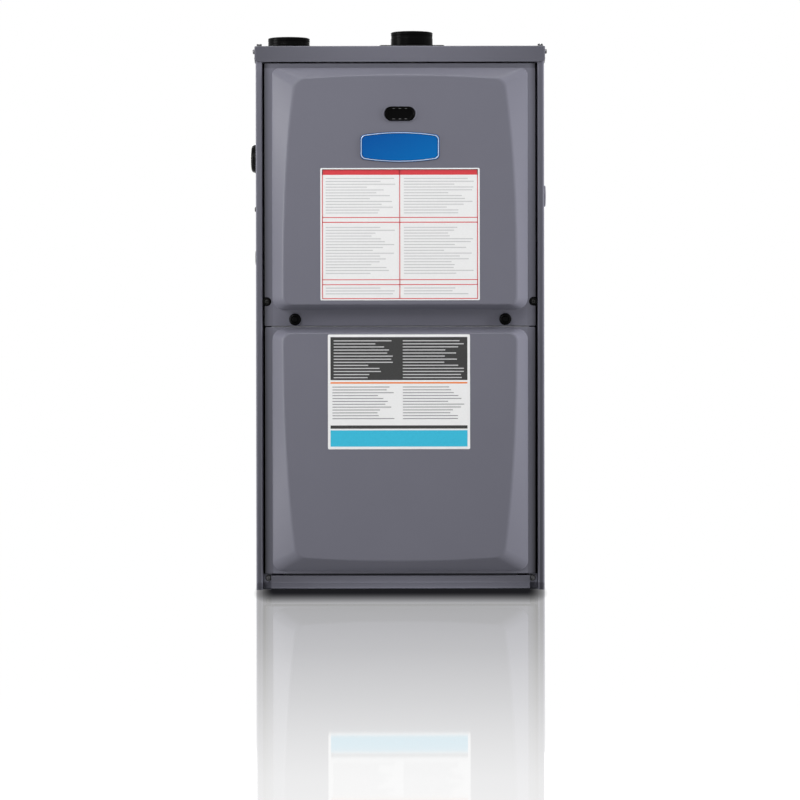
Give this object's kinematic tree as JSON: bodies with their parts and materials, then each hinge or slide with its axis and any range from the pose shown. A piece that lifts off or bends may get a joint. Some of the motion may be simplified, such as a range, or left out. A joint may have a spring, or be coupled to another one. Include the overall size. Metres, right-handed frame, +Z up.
{
  "type": "forced air gas furnace",
  "caption": "Upright steel furnace cabinet with two embossed removable doors, top air and vent couplings, and its burners, exchanger, inducer, blower and controls inside.",
  "frame": {"origin": "bottom centre of the whole, on the floor", "axes": "+Z up, +Y towards the back, the doors face -Y, +X to the right seen from the front"},
  "size_m": [0.46, 0.7534, 0.8672],
  "materials": {
    "cabinet_paint": "grey powder coat",
    "galvanised": "galvanised sheet",
    "foil_pad": "foil-faced glass wool",
    "black_rubber": "matt black rubber",
    "black_plastic": "black moulded plastic",
    "screw_zinc": "zinc-plated steel",
    "box_steel": "coated steel",
    "burner_steel": "plain steel",
    "black_pipe": "black iron pipe",
    "orifice_brass": "turned brass",
    "valve_cast": "die-cast aluminium",
    "ceramic_body": "pale ceramic",
    "reset_red": "red plastic",
    "exchanger_steel": "aluminised steel",
    "fin_metal": "aluminium fins",
    "motor_paint": "black enamel",
    "pvc": "white plastic",
    "board_green": "circuit board with its parts",
    "transformer_core": "varnished laminations",
    "sight_black": "black bezel and dark glass",
    "badge_blue": "plain blue plate with a bright rim",
    "print_film": "printed film, plain bars only"
  },
  "bodies": {
    "cabinet": {"side_panels": "cabinet_paint", "back_panel": "cabinet_paint", "top_cap": "cabinet_paint", "supply_frame": "cabinet_paint", "base_pan": "galvanised", "base_rail": "cabinet_paint", "divider_rail": "galvanised", "blower_deck": "galvanised", "vestibule_panel": "galvanised", "insulation": "foil_pad", "intake_coupling": "black_rubber", "vent_coupling": "black_rubber", "hole_plugs": "black_plastic", "cabinet_screws": "screw_zinc", "door_locators": "black_plastic", "burner_box": "box_steel", "burner_cover": "box_steel", "burners": "burner_steel", "gas_manifold": "black_pipe", "gas_orifices": "orifice_brass", "gas_valve": "valve_cast", "igniter": "ceramic_body", "flame_sensor": "ceramic_body", "limit_switches": "ceramic_body", "exchanger_tubes": "exchanger_steel", "rear_header": "burner_steel", "secondary_coil": "fin_metal", "collector_box": "black_plastic", "inducer_housing": "black_plastic", "inducer_motor": "motor_paint", "vent_pipe": "pvc", "intake_pipe": "pvc", "condensate_trap": "black_plastic", "rubber_tubes": "black_rubber", "pressure_switches": "black_plastic", "blower_housing": "galvanised", "blower_motor": "motor_paint", "motor_bracket": "galvanised", "blower_rails": "galvanised", "control_plate": "galvanised", "control_board": "board_green", "transformer": "transformer_core", "door_switch": "pvc", "junction_box": "galvanised"},
    "upper_door": {"upper_door": "cabinet_paint", "sight_glass": "sight_black", "badge_plate": "badge_blue", "upper_print_sheet": "print_film"},
    "lower_door": {"lower_door": "cabinet_paint", "lower_print_sheet": "print_film"},
    "knob_left": {"knob_left": "black_plastic"},
    "knob_right": {"knob_right": "black_plastic"},
    "blower_rotor": {"blower_wheel": "burner_steel", "blower_shaft": "burner_steel"},
    "inducer_rotor": {"inducer_wheel": "black_plastic", "inducer_fan": "black_plastic"},
    "gas_valve_knob": {"gas_valve_knob": "black_plastic"},
    "door_switch_plunger": {"door_switch_plunger": "black_plastic"},
    "rollout_button_left": {"rollout_button_left": "reset_red"},
    "rollout_button_right": {"rollout_button_right": "reset_red"}
  },
  "joints": [
    {"name": "upper_door_slide", "type": "slide", "parent": "cabinet", "child": "upper_door", "axis": [0, -1, 0], "range_m": [0, 0.3]},
    {"name": "lower_door_slide", "type": "slide", "parent": "cabinet", "child": "lower_door", "axis": [0, -1, 0], "range_m": [0, 0.3]},
    {"name": "knob_left_turn", "type": "hinge", "parent": "upper_door", "child": "knob_left", "pos_m": [-0.162, -0.345, 0.4168], "axis": [0, 1, 0], "range_deg": [0, 90]},
    {"name": "knob_right_turn", "type": "hinge", "parent": "upper_door", "child": "knob_right", "pos_m": [0.162, -0.345, 0.4168], "axis": [0, 1, 0], "range_deg": [0, 90]},
    {"name": "blower_spin", "type": "hinge", "parent": "cabinet", "child": "blower_rotor", "pos_m": [0, 0.11, 0.21], "axis": [1, 0, 0], "continuous": true},
    {"name": "inducer_spin", "type": "hinge", "parent": "cabinet", "child": "inducer_rotor", "pos_m": [0.11, -0.28, 0.493], "axis": [0, 1, 0], "continuous": true},
    {"name": "gas_valve_knob_turn", "type": "hinge", "parent": "cabinet", "child": "gas_valve_knob", "pos_m": [0.168, -0.325, 0.667], "axis": [0, 1, 0], "range_deg": [0, 90]},
    {"name": "door_switch_press", "type": "slide", "parent": "cabinet", "child": "door_switch_plunger", "axis": [0, 1, 0], "range_m": [0, 0.004], "stiffness_N_per_m": 200, "springref_m": -0.002},
    {"name": "rollout_left_press", "type": "slide", "parent": "cabinet", "child": "rollout_button_left", "axis": [0, 1, 0], "range_m": [0, 0.002], "stiffness_N_per_m": 300, "springref_m": -0.001},
    {"name": "rollout_right_press", "type": "slide", "parent": "cabinet", "child": "rollout_button_right", "axis": [0, 1, 0], "range_m": [0, 0.002], "stiffness_N_per_m": 300, "springref_m": -0.001}
  ]
}
